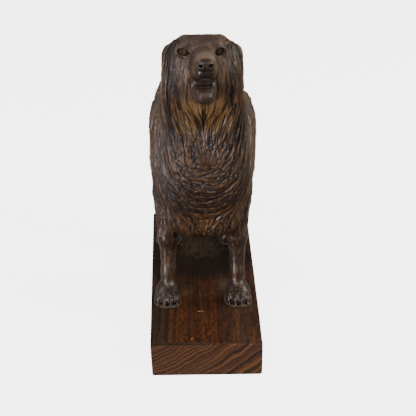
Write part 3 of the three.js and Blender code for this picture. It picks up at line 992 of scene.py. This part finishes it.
def make_plinth():
    """A block with eased edges, slightly out of true, as one closed mesh of small quads."""
    low, high = np.array(PLINTH_LOW) / MM, np.array(PLINTH_HIGH) / MM
    eased = (0.0, 0.25, 0.6, 1.1, 1.8)
    axes = []
    for a, b in zip(low, high):
        inner = np.linspace(a + 2.6, b - 2.6, max(3, round((b - a) / 2.2)))
        axes.append(np.concatenate([a + np.array(eased), inner, b - np.array(eased[::-1])]))
    sizes = [len(line) for line in axes]
    faces = []
    for axis in range(3):
        u, v = (axis + 1) % 3, (axis + 2) % 3
        i, j = np.meshgrid(np.arange(sizes[u] - 1), np.arange(sizes[v] - 1), indexing="ij")
        for end, flip in ((0, True), (sizes[axis] - 1, False)):
            loop = []
            for di, dj in ((0, 0), (1, 0), (1, 1), (0, 1)):
                corner = np.empty((i.size, 3), int)
                corner[:, axis], corner[:, u], corner[:, v] = end, (i + di).ravel(), (j + dj).ravel()
                loop.append(corner)
            faces.append(np.stack(loop[::-1] if flip else loop, 1))
    faces = np.concatenate(faces)
    corners = np.ravel_multi_index(tuple(np.moveaxis(faces, -1, 0)), sizes)
    unique, quads = np.unique(corners, return_inverse=True)
    points = np.stack([line[n] for line, n in zip(axes, np.unravel_index(unique, sizes))], 1)
    height = (points[:, 2] - low[2]) / (high[2] - low[2])
    radius = np.where(height > 0.5, 0.55, 1.7)[:, None]
    core = np.clip(points, low + radius, high - radius)
    away = points - core
    points = core + radius * away / np.maximum(np.linalg.norm(away, axis=1, keepdims=True), 1e-9)
    # the front of the top falls away to the dog's left
    fall = 1.6 * ramp(-points[:, 1], 64, 108) * ramp(points[:, 0], -34, 38)
    points[:, 2] -= fall * height
    # the lower part of its right side is drawn in
    points[:, 0] += 0.9 * ramp(-points[:, 0], 20, 38) * ramp(height, 1, 0)
    # and the long sides are hand planed
    wave = np.sin(points[:, 1] * 0.09 + 1) * np.sin(points[:, 2] * 0.11 + 0.5)
    points[:, 0] -= np.sign(points[:, 0]) * 0.12 * (1 + wave) * (np.abs(points[:, 0]) > 36)
    return quad_object("plinth_block", points, quads.reshape(-1, 4))


part_of_object(make_plinth(), "plinth", plinth_wood())


# ---- The dowels keep their CAD shape ----
dowel_material = dowel_wood()
for name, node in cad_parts.items():
    if name.startswith("dowel_"):
        node.data.materials.clear()
        node.data.materials.append(dowel_material)


# ---- Floor, light and camera ----


def for_the_eye(thing, material):
    """Only the eye sees the thing: it lights nothing, and nothing mirrors it."""
    thing.data.materials.append(material)
    thing.visible_diffuse = False
    thing.visible_glossy = False


def floor():
    s = Shader("floor")
    shade = s.ramp(s.noise(scale=0.004), 0.3, 0.7, 0.78, 0.82)
    s.surface(Base_Color=s.mix(shade, (0, 0, 0), (1, 1, 1)), Roughness=0.9, Specular_IOR_Level=0.1)
    s.surface(Emission_Color=(1.0, 1.0, 1.0), Emission_Strength=FLOOR_GLOW)
    half = 6000.0
    corners = np.array([(-half, -half, 0), (half, -half, 0), (half, half, 0), (-half, half, 0)])
    plane = quad_object("floor", corners, np.array([[0, 1, 2, 3]]))
    for_the_eye(plane, s.material)
    # a paper wall stands all round, curving up from the floor
    inside, bend, top = 3800.0, 1500.0, 7000.0
    curve = np.linspace(0, math.pi / 2, 13)
    rise = [(inside + bend * math.sin(a), bend * (1 - math.cos(a))) for a in curve]
    rise.append((inside + bend, top))
    wall = turned_object("backdrop", rise, 96, (0, 0, 1.0), np.eye(3))
    for_the_eye(wall, s.material)
    wall.visible_shadow = False


def softbox(name, place, aim, size, watts, tint):
    """A rectangular lamp, which the camera doesn't see."""
    lamp = bpy.data.lights.new(name, "AREA")
    lamp.color = tint
    lamp.shape = "RECTANGLE"
    lamp.size, lamp.size_y = size
    lamp.energy = watts
    thing = bpy.data.objects.new(name, lamp)
    thing.visible_camera = False
    thing.location = place
    thing.rotation_euler = (Vector(aim) - Vector(place)).to_track_quat("-Z", "Y").to_euler()
    bpy.context.scene.collection.objects.link(thing)


def surroundings():
    """Dim all round, but brighter low down behind the dog, as pale paper is past its outline."""
    world = bpy.data.worlds.new("studio")
    world.use_nodes = True
    tree = world.node_tree

    def ramp_of(value, **limits):
        made = tree.nodes.new("ShaderNodeMapRange")
        tree.links.new(value, made.inputs["Value"])
        for key, limit in limits.items():
            made.inputs[key.replace("_", " ")].default_value = limit
        return made.outputs[0]

    axes = tree.nodes.new("ShaderNodeSeparateXYZ")
    tree.links.new(tree.nodes.new("ShaderNodeTexCoord").outputs["Generated"], axes.inputs[0])
    glow = tree.nodes.new("ShaderNodeMath")
    glow.operation = "MULTIPLY"
    tree.links.new(ramp_of(axes.outputs["Y"], From_Min=0.0, From_Max=0.6), glow.inputs[0])
    tree.links.new(ramp_of(axes.outputs["Z"], From_Min=0.02, From_Max=-0.35), glow.inputs[1])
    background = tree.nodes["Background"]
    background.inputs["Color"].default_value = (1.0, 0.97, 0.93, 1)
    tree.links.new(ramp_of(glow.outputs[0], To_Min=0.1, To_Max=0.4), background.inputs["Strength"])
    bpy.context.scene.world = world


def camera():
    """Seen from in front and a little above, from 0.93 m, with a long lens."""
    azimuth, elevation = math.radians(-1.52), math.radians(24.2)
    aim, distance = Vector((0.0022, -0.06, 0.1057)), 0.9327
    level = math.cos(elevation)
    ahead = Vector((-math.sin(azimuth) * level, math.cos(azimuth) * level, -math.sin(elevation)))
    lens = bpy.data.cameras.new("camera")
    lens.lens = 116.5
    lens.sensor_width = 36
    thing = bpy.data.objects.new("camera", lens)
    thing.location = aim - ahead * distance
    thing.rotation_euler = ahead.to_track_quat("-Z", "Y").to_euler()
    bpy.context.scene.collection.objects.link(thing)
    bpy.context.scene.camera = thing


floor()
softbox("key", (-0.42, -0.78, 0.92), (0, -0.03, 0.13), (0.35, 0.5), 6.4, (1.0, 0.97, 0.92))
softbox("strip_left", (-0.66, -0.64, 0.1), (0, -0.03, 0.1), (0.16, 0.6), 9, (0.93, 0.91, 1.0))
softbox("fill", (0.6, -0.58, 0.95), (0, -0.03, 0.12), (0.45, 0.45), 2.6, (1.0, 0.94, 0.84))
softbox("strip_right", (0.82, -0.4, 0.5), (0, -0.03, 0.14), (0.2, 0.6), 8, (1.0, 0.95, 0.9))
softbox("back_left", (-0.75, 0.5, 1.05), (0, 0.02, 0.12), (0.4, 0.5), 4, (0.97, 0.97, 1.0))
softbox("back_right", (0.8, 0.5, 1.0), (0, 0.02, 0.12), (0.4, 0.5), 5, (1.0, 0.96, 0.9))
surroundings()
camera()
